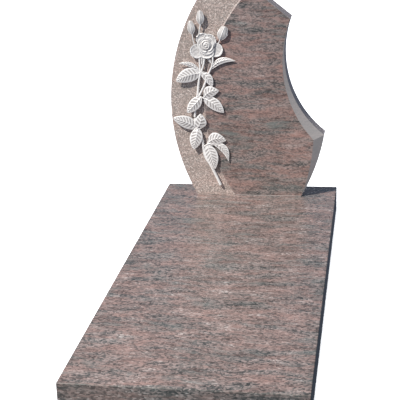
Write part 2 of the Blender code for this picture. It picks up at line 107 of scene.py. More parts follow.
def joined(pieces, name):
    deselectAll()
    for piece in pieces:
        piece.select_set(True)
    bpy.context.view_layer.objects.active = pieces[0]
    bpy.ops.object.join()
    whole = bpy.context.object
    whole.name = name
    whole.data.name = name
    return whole


class Wire:
    # one output of a node; sums with it add Math or Vector Math nodes
    def __init__(self, tree, socket):
        self.tree = tree
        self.socket = socket

    def sum(self, kind, other, swapped=False):
        pair = (other, self) if swapped else (self, other)
        node = "ShaderNodeVectorMath" if self.socket.type == "VECTOR" else "ShaderNodeMath"
        if node == "ShaderNodeVectorMath":
            pair = [(p, p, p) if isinstance(p, (int, float)) else p for p in pair]
        return self.tree.node(node, {"operation": kind}, dict(enumerate(pair)))

    def __add__(self, other):
        return self.sum("ADD", other)

    def __sub__(self, other):
        return self.sum("SUBTRACT", other)

    def __mul__(self, other):
        return self.sum("MULTIPLY", other)

    def __pow__(self, other):
        return self.sum("POWER", other)

    def __rsub__(self, other):
        return self.sum("SUBTRACT", other, True)

    __radd__ = __add__
    __rmul__ = __mul__

    def spread(self, low, high):
        # 0 at low, 1 at high
        return self.tree.node("ShaderNodeMapRange", {"clamp": True}, {"Value": self, 1: low, 2: high})


class Finish:
    # a material and its node tree
    def __init__(self, name):
        self.material = bpy.data.materials.new(name)
        self.material.use_nodes = True
        self.nodes = self.material.node_tree.nodes
        self.links = self.material.node_tree.links
        self.shader = self.nodes["Principled BSDF"]

    def put(self, socket, value):
        if isinstance(value, Wire):
            self.links.new(value.socket, socket)
        elif socket.type == "RGBA" and len(value) == 3:
            socket.default_value = (*value, 1.0)
        else:
            socket.default_value = value

    def node(self, kind, settings=None, values=None, out=0):
        made = self.nodes.new(kind)
        for name, value in (settings or {}).items():
            if name == "stops":
                ramp = made.color_ramp
                while len(ramp.elements) < len(value):
                    ramp.elements.new(0.5)
                for element, (place, colour) in zip(ramp.elements, value):
                    element.position = place
                    element.color = (*colour, 1.0)
            else:
                setattr(made, name, value)
        for name, value in (values or {}).items():
            self.put(made.inputs[name], value)
        return Wire(self, made.outputs[out])

    def blend(self, factor, a, b, mode="MIX"):
        settings = {"data_type": "RGBA", "blend_type": mode}
        return self.node("ShaderNodeMix", settings, {0: factor, 6: a, 7: b}, 2)

    def noise(self, place, scale, detail=4.0, roughness=0.55):
        values = {"Vector": place, "Scale": scale, "Detail": detail, "Roughness": roughness}
        return self.node("ShaderNodeTexNoise", {}, values)

    def set(self, **values):
        for name, value in values.items():
            self.put(self.shader.inputs[name.replace("_", " ")], value)
        return self.material


graniteLook = {
    "sway": (0.02, 0.10, 0.05),         # how far the streaks wander, in metres
    "swayScale": 2.4,
    "swayDetail": 2.0,
    "bandStretch": (12.0, 36.0, 66.0),  # streaks of 80 mm by 15 mm along X
    "bandNoise": (1.0, 7.0, 0.66),      # scale, detail, roughness
    "cloudStretch": (4.6, 10.0, 11.0),
    "cloudNoise": (1.0, 4.0, 0.55),
    "veinStretch": (3.4, 13.0, 22.0),
    "veinNoise": (1.0, 5.0, 0.6),
    "veinSharpness": 7.0,
    "redEdges": (0.50, 0.72),           # the clouds turn red between these
    "redOnCrystals": (0.55, 0.6),       # on a dark crystal, and what a light one adds
    "greyEdges": (0.52, 0.68),          # the streaks turn grey between these
    "footBlur": 0.0005,
    "pitNoise": (5.0, 0.6),             # detail, roughness
    "crystalRelief": 0.3,               # share of the relief that the crystals have
    "coatRoughness": 0.12,
    "minerals": [
        (0.00, (0.036, 0.041, 0.041)),
        (0.20, (0.075, 0.080, 0.079)),
        (0.42, (0.165, 0.148, 0.143)),
        (0.60, (0.270, 0.215, 0.203)),
        (0.80, (0.350, 0.285, 0.270)),
        (1.00, (0.600, 0.560, 0.540)),
    ],
    "red": (0.345, 0.180, 0.150),
    "grey": (0.158, 0.174, 0.166),
}


stoneLow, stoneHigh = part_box("headstone")
frontY, backY, footZ = stoneLow.y, stoneHigh.y, stoneLow.z


def graniteParts(finish, offset, grain, fleck):
    # crystals, streaks, soft patches and red veins, all from the place in space
    look = graniteLook
    place = finish.node("ShaderNodeTexCoord", out="Object") + offset
    wander = {"Vector": place, "Scale": look["swayScale"], "Detail": look["swayDetail"]}
    sway = finish.node("ShaderNodeTexNoise", {}, wander, "Color")
    sway = finish.node("ShaderNodeVectorMath", {"operation": "SUBTRACT"}, {0: sway, 1: (0.5, 0.5, 0.5)})
    bent = place + sway * look["sway"]
    bands = finish.noise(bent * look["bandStretch"], *look["bandNoise"])
    clouds = finish.noise(bent * look["cloudStretch"], *look["cloudNoise"])
    veins = finish.noise(bent * look["veinStretch"], *look["veinNoise"])
    veins = 1.0 - ((veins - 0.5) * 2.0).sum("ABSOLUTE", 0.0)
    grains = finish.node("ShaderNodeTexVoronoi", {}, {"Vector": place * fleck, "Scale": grain}, "Color")
    crystal = finish.node("ShaderNodeSeparateColor", {}, {"Color": grains}, "Red")
    return place, bands, clouds, veins, crystal


def graniteFinish(name, settings):
    finish = Finish(name)
    look = graniteLook
    offset, grain, fleck = settings["offset"], settings["grain"], settings["fleck"]
    place, bands, clouds, veins, crystal = graniteParts(finish, offset, grain, fleck)
    mixed = crystal * settings["crystalShare"] + (bands - 0.5) * settings["bandShare"]
    mixed = mixed + (clouds - 0.5) * settings["cloudShare"] + settings["middle"]
    colour = finish.node("ShaderNodeValToRGB", {"stops": look["minerals"]}, {"Fac": mixed})
    redness = (veins ** look["veinSharpness"]) * settings["redVeins"]
    redness = redness + clouds.spread(*look["redEdges"]) * settings["redPatches"]
    onDark, onLight = look["redOnCrystals"]
    colour = finish.blend(redness * (onDark + crystal * onLight), colour, look["red"])
    greyness = (bands * 0.5 + (1.0 - clouds) * 0.5).spread(*look["greyEdges"]) * settings["greyPatches"]
    colour = finish.blend(greyness, colour, look["grey"])
    colour = finish.blend(settings["frost"], colour, settings["frostColour"])
    colour = finish.blend(1.0, colour, settings["tint"], "MULTIPLY")
    if settings["footLine"]:
        here = finish.node("ShaderNodeTexCoord", out="Object")
        up = finish.node("ShaderNodeSeparateXYZ", {}, {0: here}, "Z")
        line = settings["footLine"] + footZ
        colour = finish.blend(1.0 - up.spread(line - look["footBlur"], line), colour, settings["footColour"])
    pits = finish.noise(place, settings["pitScale"], *look["pitNoise"])
    height = pits * (1.0 - look["crystalRelief"]) + crystal * look["crystalRelief"]
    bump = finish.node("ShaderNodeBump", {}, {
        "Strength": settings["pitStrength"],
        "Distance": settings["pitDepth"],
        "Height": height,
    })
    rough = settings["roughness"] + (crystal - 0.5) * settings["roughSpread"]
    return finish.set(Base_Color=colour, Roughness=rough, Normal=bump, Coat_Weight=settings["coat"],
                      Coat_Roughness=look["coatRoughness"])


polished = {
    "offset": (3.1, 1.7, 0.4),
    "grain": 220.0,                     # crystals of about 4.5 mm
    "fleck": (0.55, 0.9, 1.15),         # drawn out along X
    "middle": 0.135,
    "crystalShare": 0.55,
    "bandShare": 1.3,
    "cloudShare": 0.7,
    "redVeins": 0.55,
    "redPatches": 0.34,
    "greyPatches": 0.76,
    "frost": 0.0,
    "frostColour": (0.5, 0.5, 0.5),
    "tint": (0.985, 1.035, 1.04),
    "pitScale": 260.0,
    "pitStrength": 0.12,
    "pitDepth": 0.0006,
    "roughness": 0.26,
    "roughSpread": 0.16,
    "coat": 0.1,
    "footLine": 0.0035,                 # height of the pale line along the foot, in metres
    "footColour": (0.50, 0.45, 0.43),
}
hammered = dict(
    polished, footLine=0.0, fleck=(1.0, 1.0, 1.0), grain=210.0, frost=0.40, frostColour=(0.62, 0.535, 0.49),
    bandShare=0.7, cloudShare=0.6, crystalShare=1.35, middle=-0.18, redVeins=0.3, redPatches=0.3,
    greyPatches=0.3, pitScale=380.0, pitStrength=1.0, pitDepth=0.005, roughness=0.82, coat=0.0,
    tint=(1.12, 1.10, 1.08))
honed = dict(
    polished, footLine=0.0, frost=0.80, frostColour=(0.36, 0.355, 0.345), redVeins=0.1, redPatches=0.1,
    greyPatches=0.2, pitStrength=0.1, roughness=0.5, roughSpread=0.05, coat=0.0, tint=(0.99, 0.955, 0.965))
arrisLook = dict(
    hammered, frost=0.5, frostColour=(0.50, 0.44, 0.42), pitStrength=0.3, tint=(0.95, 0.93, 0.93))
edgeLook = dict(
    polished, footLine=0.0, frost=0.75, frostColour=(0.34, 0.325, 0.31), redVeins=0.1, redPatches=0.1,
    greyPatches=0.3, roughness=0.5, coat=0.0, tint=(0.93, 0.87, 0.92))
sawn = dict(hammered, frost=0.45, frostColour=(0.42, 0.34, 0.31), pitScale=180.0, pitStrength=0.5)
# the slab is sawn from another part of the rock, so its pattern has another offset
slabTop = dict(
    polished, offset=(7.7, 4.2, 0.9), roughness=0.33, coat=0.0, footLine=0.0, crystalShare=0.72,
    middle=0.065, redVeins=0.42, redPatches=0.27, tint=(1.01, 1.055, 1.065))
# the slab's upright faces: the top's granite darkened by tint and frost as painted shade; their rougher
# finish is their own
shadedSlabSide = dict(
    slabTop, frost=0.12, frostColour=(0.20, 0.19, 0.18), crystalShare=0.95, middle=-0.05,
    tint=(0.70, 0.755, 0.75), roughness=0.55)
slabSawn = dict(sawn, offset=slabTop["offset"])

stoneFinishes = {
    "panel": graniteFinish("polishedGranite", polished),
    "band": graniteFinish("hammeredBand", hammered),
    "bevel": graniteFinish("honedBevel", honed),
    "arris": graniteFinish("panelArris", arrisLook),
    "edge": graniteFinish("stoneEdge", edgeLook),
    "back": graniteFinish("sawnBack", sawn),
}
slabFinishes = {
    "top": graniteFinish("slabGranite", slabTop),
    # a darker copy of the slab's granite: painted shade on the sides
    "side": graniteFinish("slabEdge", shadedSlabSide),
    "underside": graniteFinish("slabUnderside", slabSawn),
}
print("stone finishes made")


slabLook = {
    "arris": 0.004,
    "arrisSteps": 4,
    "flat": 0.9,                        # a normal's rise past which a face is top or underside
    "smoothDegrees": 32,
}


def makeSlab():
    low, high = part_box("ledger_slab")
    deselectAll()
    bpy.ops.mesh.primitive_cube_add(size=1.0, location=(low + high) / 2, scale=high - low)
    slab = settle(bpy.context.object)
    middle = (low.z + high.z) / 2
    points = slab.data.vertices
    editing(slab, "EDGE", lambda edge: max(points[i].co.z for i in edge.vertices) > middle)
    bpy.ops.mesh.bevel(offset=slabLook["arris"], segments=slabLook["arrisSteps"], affect="EDGES")
    bpy.ops.object.mode_set(mode="OBJECT")

    def kindOf(face):
        rise = face.normal.z
        return "underside" if rise < -slabLook["flat"] else "side" if rise < slabLook["flat"] else "top"

    coverWith(slab, slabFinishes, kindOf)
    smoothPiece(slab, slabLook["smoothDegrees"])
    slab.name = "ledgerSlab"
    slab.data.name = "ledgerSlab"
    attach(slab, "root")
    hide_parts("ledger_slab")
    return slab


slab = makeSlab()
print("slab made")


# metres and degrees; places are across from the slab's middle and up from the stone's foot
stone = {
    "baseWidth": 0.480,
    "baseOffset": 0.002,
    "leftRadius": 0.902,
    "leftBelly": 0.433,
    "rightRadius": 0.888,
    "rightBelly": 0.442,
    "shoulder": (0.1966, 0.818),
    "topSlope": 38.9,
    "biteRadius": 0.473,
    "biteFoot": 0.289,
    "bevelWidth": 0.044,
    "bevelDepth": 0.021,
    "bevelUpperRadius": 0.529,
    "bevelLowerRadius": 0.903,
    "bandWidth": 0.157,
    "bandDrop": 0.007,
    "bandRecess": 0.006,
    "panelEdge": 0.005,
    "arris": 0.0012,
    "arrisSteps": 2,
    "sharpDegrees": 40,
    "smoothDegrees": 12,
    "roundSides": 900,
    "toolPast": 0.02,                   # how far a block that cuts right through stands out
    "toolReach": 0.012,                 # and one that cuts into the front
    "bevelToolDepth": 0.028,
    "bandToolWidth": 0.06,
    "bevelToolWidth": 0.25,
    "bevelToolRise": 0.08,              # above the tusk under the bite
    "bevelToolStart": 0.05,             # left of the bevel's corner
}


def circleCentre(start, end, radius, side):
    chord = end - start
    rise = math.sqrt(radius ** 2 - (chord.length / 2) ** 2)
    return (start + end) / 2 + Vector((-chord.y, chord.x)).normalized() * rise * side


def sideCentres():
    # the middles of the two long arcs, left and right
    leftBelly, rightBelly = stone["leftBelly"], stone["rightBelly"]
    foot = stone["baseOffset"] - stone["baseWidth"] / 2
    left = Vector((foot + math.sqrt(stone["leftRadius"] ** 2 - leftBelly ** 2), leftBelly))
    foot += stone["baseWidth"]
    right = Vector((foot - math.sqrt(stone["rightRadius"] ** 2 - rightBelly ** 2), rightBelly))
    return left, right


def addRound(centre, radius, nearY, farY, nearRadius=None):
    # a turned block across the stone, from nearY at the front to farY
    deselectAll()
    place = (centre.x, (nearY + farY) / 2, footZ + centre.y)
    bpy.ops.mesh.primitive_cone_add(
        vertices=stone["roundSides"], radius1=radius, radius2=nearRadius or radius,
        depth=farY - nearY, location=place, rotation=(math.pi / 2, 0, 0))
    return settle(bpy.context.object)


def sliceOff(piece, point, normal):
    # everything on the side that the normal points to goes
    editing(piece, "FACE", lambda face: True)
    bpy.ops.mesh.bisect(plane_co=point, plane_no=normal, use_fill=True, clear_outer=True)
    bpy.ops.object.mode_set(mode="OBJECT")


def makeStone():
    s = stone
    left, right = sideCentres()
    band = left - Vector((0, s["bandDrop"]))
    shoulder = Vector(s["shoulder"])
    rise = s["biteFoot"] - right.y
    tusk = Vector((right.x + math.sqrt(s["rightRadius"] ** 2 - rise ** 2), s["biteFoot"]))
    bite = circleCentre(shoulder, tusk, s["biteRadius"], 1)
    fromBite = (tusk - bite).normalized()
    half = (fromBite + (right - tusk).normalized()).normalized()
    corner = tusk + half * (s["bevelWidth"] / half.dot(fromBite))
    footRight = Vector((s["baseOffset"] + s["baseWidth"] / 2, 0))
    upper = circleCentre(shoulder, corner, s["bevelUpperRadius"], 1)
    lower = circleCentre(corner, footRight, s["bevelLowerRadius"], -1)

    body = addRound(left, s["leftRadius"], frontY, backY)
    past = s["toolPast"]
    cutWith(body, addRound(right, s["rightRadius"], frontY - past, backY + past), "INTERSECT")
    sliceOff(body, (0, 0, footZ), (0, 0, -1))
    slope = math.radians(s["topSlope"])
    sliceOff(body, (shoulder.x, 0, footZ + shoulder.y), (math.sin(slope), 0, math.cos(slope)))
    cutWith(body, addRound(bite, s["biteRadius"], frontY - past, backY + past))
    finishWith(body, "BEVEL", width=s["arris"], segments=s["arrisSteps"], limit_method="ANGLE",
               angle_limit=math.radians(s["sharpDegrees"]))

    # the sunk band, with the sloped edge of the panel beside it
    reach = s["toolReach"]
    flare = reach * s["panelEdge"] / s["bandRecess"]
    panelRadius = s["leftRadius"] - s["bandWidth"]
    ring = addRound(band, s["leftRadius"] + s["bandToolWidth"], frontY - reach, frontY + s["bandRecess"])
    core = addRound(band, panelRadius + 2 * flare, frontY - 2 * reach, frontY + 2 * reach,
                    panelRadius - 2 * flare)
    cutWith(body, cutWith(ring, core))

    # the two runs of the bevel
    run = s["bevelWidth"] / s["bevelDepth"]
    deep = s["bevelToolDepth"]
    cutWith(body, addRound(upper, s["bevelUpperRadius"] - deep * run, frontY - reach, frontY + deep,
                           s["bevelUpperRadius"] + reach * run))
    ring = addRound(lower, s["bevelLowerRadius"] + s["bevelToolWidth"], frontY - reach, frontY + deep)
    core = addRound(lower, s["bevelLowerRadius"] + 2 * deep * run, frontY - 2 * reach, frontY + 2 * deep,
                    s["bevelLowerRadius"] - 2 * reach * run)
    cutWith(ring, core)
    sliceOff(ring, (0, 0, footZ + s["biteFoot"] + s["bevelToolRise"]), (0, 0, 1))
    sliceOff(ring, (corner.x - s["bevelToolStart"], 0, 0), (-1, 0, 0))
    cutWith(body, ring)

    def kindOf(face):
        # a normal's Y is 1 on the back, near 0 round the edge and -1 on panel and band
        normal, middle = face.normal, face.center
        away = (Vector((middle.x, middle.z - footZ)) - band).length
        if normal.y > 0.9:
            return "back"
        if normal.y > -0.4:
            return "edge"
        if normal.y < -0.999:
            return "band" if middle.y > frontY + s["bandRecess"] / 2 else "panel"
        leftOfBevel = middle.x < 0.05
        return "arris" if leftOfBevel and abs(away - panelRadius) < 2 * s["panelEdge"] else "bevel"

    coverWith(body, stoneFinishes, kindOf)
    smoothPiece(body, s["smoothDegrees"])
    body.name = "headStone"
    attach(body, "root")
    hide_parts("headstone")
    return body


makeStone()
print("headstone made")


# places are shares of the spray's height from the stem's foot, across and up;
# the last numbers are metres in front of the panel
spray = {
    "height": 0.800,
    "footHeight": 0.0438,
    "footInset": 0.035,
    "stem": (0.0068, 0.0053),          # radius at the cut foot and at the rose
    "branch": (0.0049, 0.0039),
    "twig": (0.0030, 0.0025),
    "leafWall": 0.0026,
    "leafRows": 57,
    "leafColumns": 15,
    "veinGap": 0.0135,
    "rim": 0.0014,
    "rib": 0.0019,
    "ribHalf": 0.0024,                 # half the rib's width
    "vein": 0.0010,
    "leafArch": 0.10,                  # of the leaf's width, along it
    "leafCrown": 0.075,                # and across it
    "budDepth": 0.42,                  # from back to front, of a bud's width
    "roseMiddle": (-0.069, 0.826),
    "roseDepth": 0.025,
    "backGap": 0.0003,                 # between the rose's back and the band
    "mergeGap": 0.00005,
    "smoothDegrees": 50,
}
# how bright the cast is rubbed: at the bottom of a form, and what its rim adds; rims, ribs and veins are
# rubbed bright, and the grey of the hollows is partly patina and partly painted shade
tones = {
    "outer": (0.52, 0.43),
    "inner": (0.58, 0.38),
    "bud": (0.36, 0.50),
    "heart": 0.35,
    "stem": 0.85,
    "thorn": 0.9,
}
# base, tip, width, bend, base and tip in front of the panel
leaves = [
    (-0.108, 0.674, -0.228, 0.722, 0.027, -0.13, 0.004, 0.009),
    (-0.107, 0.666, -0.247, 0.621, 0.080, -0.07, 0.005, 0.011),
    (-0.106, 0.672, -0.041, 0.588, 0.048, 0.12, 0.008, 0.0085),
    (-0.046, 0.690, 0.090, 0.736, 0.035, 0.18, 0.008, 0.0075),
    (-0.092, 0.524, -0.005, 0.568, 0.066, 0.17, 0.008, 0.0075),
    (-0.093, 0.522, 0.020, 0.440, 0.066, 0.06, 0.006, 0.0075),
    (-0.107, 0.529, -0.189, 0.438, 0.064, 0.00, 0.006, 0.011),
    (-0.134, 0.348, -0.271, 0.406, 0.072, -0.05, 0.004, 0.011),
    (-0.138, 0.345, -0.110, 0.432, 0.070, -0.12, 0.007, 0.012),
    (-0.130, 0.347, -0.158, 0.223, 0.072, 0.00, 0.006, 0.012),
    (-0.080, 0.254, 0.029, 0.278, 0.072, 0.20, 0.007, 0.0075),
    (-0.050, 0.259, 0.041, 0.157, 0.043, 0.20, 0.007, 0.0075),
    (-0.081, 0.250, -0.037, 0.108, 0.074, 0.03, 0.006, 0.011),
]
roseSepals = [
    (-0.104, 0.775, -0.100, 0.715, 0.014, 0.10, 0.005, 0.008),
    (-0.079, 0.766, -0.046, 0.722, 0.018, 0.10, 0.0045, 0.008),
]
roseSepal = {"rows": 25, "columns": 9, "sweep": 0.1, "veins": 1.0}
stemLines = {
    "stem": [
        [(-0.009, 0.009, 0.0045), (-0.039, 0.074, 0.0022), (-0.068, 0.133, 0.0014), (-0.093, 0.175, 0.0010),
         (-0.107, 0.263, 0.001), (-0.120, 0.317, 0.001), (-0.143, 0.375, 0.001), (-0.146, 0.436, 0.001),
         (-0.139, 0.489, 0.001), (-0.129, 0.534, 0.002), (-0.119, 0.612, 0.002), (-0.106, 0.676, 0.003)],
    ],
    "branch": [
        [(-0.107, 0.668, 0.003), (-0.110, 0.710, 0.0045), (-0.111, 0.775, 0.003)],
        [(-0.106, 0.664, 0.003), (-0.090, 0.710, 0.006), (-0.076, 0.785, 0.0045)],
        [(-0.119, 0.534, 0.004), (-0.092, 0.586, 0.007), (-0.056, 0.674, 0.007), (-0.040, 0.710, 0.008),
         (-0.034, 0.785, 0.006)],
    ],
    "twig": [
        [(-0.103, 0.232, 0.001), (-0.087, 0.247, 0.006), (-0.066, 0.257, 0.008), (-0.040, 0.258, 0.008)],
        [(-0.131, 0.526, 0.002), (-0.112, 0.530, 0.006), (-0.084, 0.517, 0.009)],
        [(-0.118, 0.800, 0.005), (-0.137, 0.830, 0.006), (-0.148, 0.892, 0.006)],
        [(-0.105, 0.850, 0.006), (-0.108, 0.887, 0.007), (-0.098, 0.948, 0.0075)],
        [(-0.016, 0.800, 0.0036), (-0.003, 0.830, 0.005), (0.011, 0.862, 0.010)],
    ],
}
thorn = {"out": 0.0045, "foot": 0.0026, "point": 0.0004, "length": 0.0075, "lean": 66}
# across, up, and the side it points to
thorns = [
    (-0.102, 0.270, 1), (-0.128, 0.470, -1), (-0.112, 0.630, 1), (-0.052, 0.120, -1), (-0.073, 0.640, -1),
]
# base, tip, width, in front of the panel, share of the width at the blunt top
buds = [
    (-0.147, 0.884, -0.157, 0.965, 0.041, 0.006, 0.34),
    (-0.098, 0.938, -0.100, 1.022, 0.043, 0.0075, 0.30),
    (0.008, 0.853, 0.041, 0.933, 0.054, 0.0100, 0.46),
]
bud = {
    "coreGrid": (25, 43),
    "sepalGrid": (23, 7),
    "skinInset": 0.0018,
    "foldDip": 0.0012,
    "foldRise": 0.0006,
    "sepalLift": 0.0006,
    "sepalCrown": 0.0010,
    "sepalWall": 0.0012,
}
# a bud's sepals: middle in degrees round it, half spread, length, curl of the tip
budSepals = [(172, 19, 0.93, 0.0008), (84, 5, 1.00, 0.0), (8, 19, 0.95, 0.0008), (270, 40, 0.94, 0.0)]
looseSepal = (178, 15, 0.56, 0.0034)    # on the right bud, with its tip turned out
petal = {
    "wall": 0.0024,
    "outerGrid": (26, 25),              # rows and columns of points
    "cupGrid": (13, 33),
    "rolledGrid": (9, 45),
    "heartGrid": (11, 41),
    "outerWidest": 0.60,                # share of its length
    "outerBase": 0.0065,                # the first one's foot in front of the panel
    "outerStep": 0.0012,                # and each next one's beyond it
    "outerHollow": 0.0020,
    "outerRim": 0.0012,
    "outerLines": 0.00035,
    "cupFoot": 0.0105,
    "cupFlare": 0.0030,
    "cupDip": 0.0010,
    "rolledWall": 0.8,                  # share of the others' wall
    "rolledFoot": 0.0095,               # behind the rose's front
    "rolledRim": 0.0050,
    "rolledFlare": 0.0014,
    "rolledDip": 0.0028,
    "rolledWave": 0.0006,
}
# direction, length, width, tip in front of the panel
outerPetals = [
    (-28, 0.097, 0.080, 0.0085),
    (213, 0.103, 0.080, 0.0085),
    (122, 0.072, 0.074, 0.0110),
    (57, 0.065, 0.076, 0.0110),
    (270, 0.074, 0.084, 0.0110),
]
# direction, half spread in degrees, foot and rim radius, rim in front of the panel
cupPetals = [
    (165, 62, 0.020, 0.037, 0.0150),
    (38, 60, 0.020, 0.035, 0.0145),
    (280, 64, 0.020, 0.040, 0.0148),
    (100, 52, 0.016, 0.029, 0.0178),
    (222, 56, 0.016, 0.031, 0.0184),
    (335, 56, 0.016, 0.029, 0.0178),
]
# radius, start, turn, lift
rolledPetals = [
    (0.0215, 40, 250, 0.0000),
    (0.0165, 170, 260, 0.0008),
    (0.0120, 300, 250, 0.0016),
    (0.0075, 80, 270, 0.0024),
    (0.0038, 200, 300, 0.0024),
]


def sprayPoint(across, up, out):
    left, _ = sideCentres()
    radius = stone["leftRadius"] - stone["bandWidth"]
    drop = spray["footHeight"] - (left.y - stone["bandDrop"])
    footX = left.x - math.sqrt(radius ** 2 - drop ** 2) - spray["footInset"]
    x = footX + across * spray["height"]
    return Vector((x, frontY - out, footZ + spray["footHeight"] + up * spray["height"]))


def shadeRelief(piece, values):
    # 1 where the cast is rubbed bright, 0 where it stays grey; the grey is partly patina and partly painted
    # shade in the hollows
    relief = piece.data.attributes.new("relief", "FLOAT", "POINT")
    relief.data.foreach_set("value", values)


def shapeGrid(rows, columns, place, wall):
    # a grid bent to place(t, s), with t from 0 to 1 and s from -1 to 1
    deselectAll()
    bpy.ops.mesh.primitive_grid_add(x_subdivisions=rows - 1, y_subdivisions=columns - 1, size=2.0)
    piece = bpy.context.object
    relief = []
    for vertex in piece.data.vertices:
        point, tone = place((vertex.co.x + 1) / 2, vertex.co.y)
        vertex.co = point
        relief.append(tone)
    shadeRelief(piece, relief)
    editing(piece, "FACE", lambda face: True)
    bpy.ops.mesh.remove_doubles(threshold=spray["mergeGap"])
    bpy.ops.object.mode_set(mode="OBJECT")
    if wall:
        finishWith(piece, "SOLIDIFY", thickness=wall, offset=-1.0)
    return piece


def smoothStep(low, high, value):
    share = min(1.0, max(0.0, (value - low) / (high - low)))
    return share * share * (3 - 2 * share)


def leafWidth(t):
    return math.sin(math.pi * min(1.0, max(0.0, t)) ** 0.86) ** 0.70


def bladeFrame(base, tip):
    forward = (tip - base).normalized()
    side = Vector((0, -1, 0)).cross(forward).normalized()
    return forward, side, forward.cross(side)


def makeLeaf(baseU, baseV, tipU, tipV, width, bend, baseOut, tipOut,
             rows=spray["leafRows"], columns=spray["leafColumns"], sweep=0.20, veins=None):
    base, tip = sprayPoint(baseU, baseV, baseOut), sprayPoint(tipU, tipV, tipOut)
    length = (tip - base).length
    forward, side, out = bladeFrame(base, tip)
    span = width * spray["height"]
    veins = veins or round(length / spray["veinGap"])

    def place(t, s):
        # the rows lean forward from the rib, as the side veins do
        lean = sweep * math.sin(math.pi * t) ** 0.8
        along = t + lean * abs(s) ** 1.15
        half = leafWidth(t + lean) * span / 2
        across = half * s + bend * length * 4 * along * (1 - along)
        wave = 0.5 + 0.5 * math.cos(2 * math.pi * veins * t)
        fade = smoothStep(0.02, 0.12, t) * (1 - smoothStep(0.90, 0.99, t))
        ridge = wave ** 1.8 * fade
        rib = max(0.0, 1 - (abs(s) * half / spray["ribHalf"]) ** 2) * (1 - 0.5 * t) if half > 0.0005 else 0.6
        rim = smoothStep(0.78, 0.88, abs(s))
        arch = spray["leafArch"] * span * math.sin(math.pi * t)
        crown = -spray["leafCrown"] * span * abs(s) ** 1.6 * math.sin(math.pi * t)
        lip = rim * (1 - smoothStep(0.95, 1.0, abs(s)) * 0.8)
        height = arch + crown + ridge * (1 - rim) * spray["vein"] + rib * spray["rib"] + lip * spray["rim"]
        tone = max(ridge ** 0.7, rib, rim, 1 - fade)
        return base + forward * along * length + side * across + out * height, tone

    return shapeGrid(rows, columns, place, spray["leafWall"])


def makeOuterPetal(degrees, length, width, tipOut, baseOut):
    angle = math.radians(degrees)
    u, v = spray["roseMiddle"]
    base = sprayPoint(u, v, baseOut)
    tip = sprayPoint(u + math.cos(angle) * length, v + math.sin(angle) * length, tipOut)
    reach = (tip - base).length
    forward, side, out = bladeFrame(base, tip)
    span = width * spray["height"]
    widest = petal["outerWidest"]
    low, added = tones["outer"]

    def place(t, s):
        t = math.sin(math.pi / 2 * t)
        if t < widest:
            half, edge = math.sin(math.pi / 2 * max(0.0, t) / widest) ** 0.8, abs(s)
        else:
            past = min(1.0, (t - widest) / (1 - widest))
            half = math.sqrt(max(0.0, 1 - past ** 2.2))
            edge = math.sqrt(min(1.0, past ** 2 + s * s * (1 - past ** 2)))
        wavy = 1 + 0.035 * math.sin(5 * math.pi * s + degrees) * smoothStep(0.5, 1.0, t)
        hollow = -petal["outerHollow"] * math.sin(math.pi * min(1.0, t * 1.05)) * (1 - s * s)
        rim = smoothStep(0.80, 0.92, edge) * (1 - 0.7 * smoothStep(0.96, 1.0, edge))
        inside = smoothStep(0.2, 0.5, t) * (1 - smoothStep(0.7, 0.9, edge))
        lines = petal["outerLines"] * math.sin(13 * s) * inside
        height = hollow + rim * petal["outerRim"] + lines
        point = base + forward * t * wavy * reach + side * half * s * span / 2 + out * height
        return point, low + added * rim

    return shapeGrid(*petal["outerGrid"], place, petal["wall"])


def makeCupPetal(degrees, spread, footRadius, rimRadius, rimOut):
    middle = sprayPoint(*spray["roseMiddle"], 0)
    footOut = petal["cupFoot"]
    low, added = tones["inner"]

    def place(t, s):
        # t climbs from the foot to the rim, s goes round
        angle = math.radians(degrees + spread * s * (1 - 0.10 * t))
        bulge = math.sin(math.pi / 2 * t) ** 1.3
        radius = footRadius + (rimRadius - footRadius) * bulge + petal["cupFlare"] * smoothStep(0.82, 1.0, t)
        radius *= 1 - 0.10 * abs(s) ** 3
        lobe = 1 - 0.34 * abs(s) ** 4 * t + 0.035 * math.sin(7 * s + degrees)
        out = footOut + (rimOut - footOut) * (t ** 1.1) * lobe - petal["cupDip"] * smoothStep(0.90, 1.0, t)
        rim = smoothStep(0.76, 0.90, t) + smoothStep(0.88, 1.0, abs(s)) * 0.6
        point = middle + Vector((radius * math.cos(angle), -out, radius * math.sin(angle)))
        return point, low + added * min(1, rim)

    return shapeGrid(*petal["cupGrid"], place, petal["wall"])


def makeRolledPetal(radius, start, turn, lift):
    middle = sprayPoint(*spray["roseMiddle"], 0)
    foot, rimTop = spray["roseDepth"] - petal["rolledFoot"], spray["roseDepth"] - petal["rolledRim"] + lift
    low, added = tones["inner"]

    def place(t, s):
        share = (s + 1) / 2
        angle = math.radians(start + turn * share)
        flare = petal["rolledFlare"] * smoothStep(0.75, 1.0, t)
        reach = radius * (1 - 0.17 * share) * (1 - 0.07 * t) + flare
        wave = petal["rolledWave"] * math.sin(9 * share + start)
        top = rimTop - petal["rolledDip"] * abs(2 * share - 1) ** 3 + wave
        out = foot + (top - foot) * t
        rim = smoothStep(0.68, 0.88, t)
        return middle + Vector((reach * math.cos(angle), -out, reach * math.sin(angle))), low + added * rim

    return shapeGrid(*petal["rolledGrid"], place, petal["wall"] * petal["rolledWall"])


def makeHeart():
    # the solid middle behind the petals; its back rests on the sunk band
    middle = sprayPoint(*spray["roseMiddle"], 0)
    deep, back = spray["roseDepth"], spray["backGap"] - stone["bandRecess"]
    # radius, in front of the panel
    profile = [(0.0, back), (0.018, back), (0.021, 0.008),
               (0.025, deep - 0.0105), (0.023, deep - 0.0085), (0.0, deep - 0.0062)]

    def place(t, s):
        step = min(t * (len(profile) - 1), len(profile) - 1.001)
        one, two = profile[int(step)], profile[int(step) + 1]
        part = step - int(step)
        radius, out = one[0] + (two[0] - one[0]) * part, one[1] + (two[1] - one[1]) * part
        angle = math.pi * s
        point = middle + Vector((radius * math.cos(angle), -out, radius * math.sin(angle)))
        # the heart stays dark grey: partly patina, partly painted shade deep behind the petals
        return point, tones["heart"]

    return shapeGrid(*petal["heartGrid"], place, None)


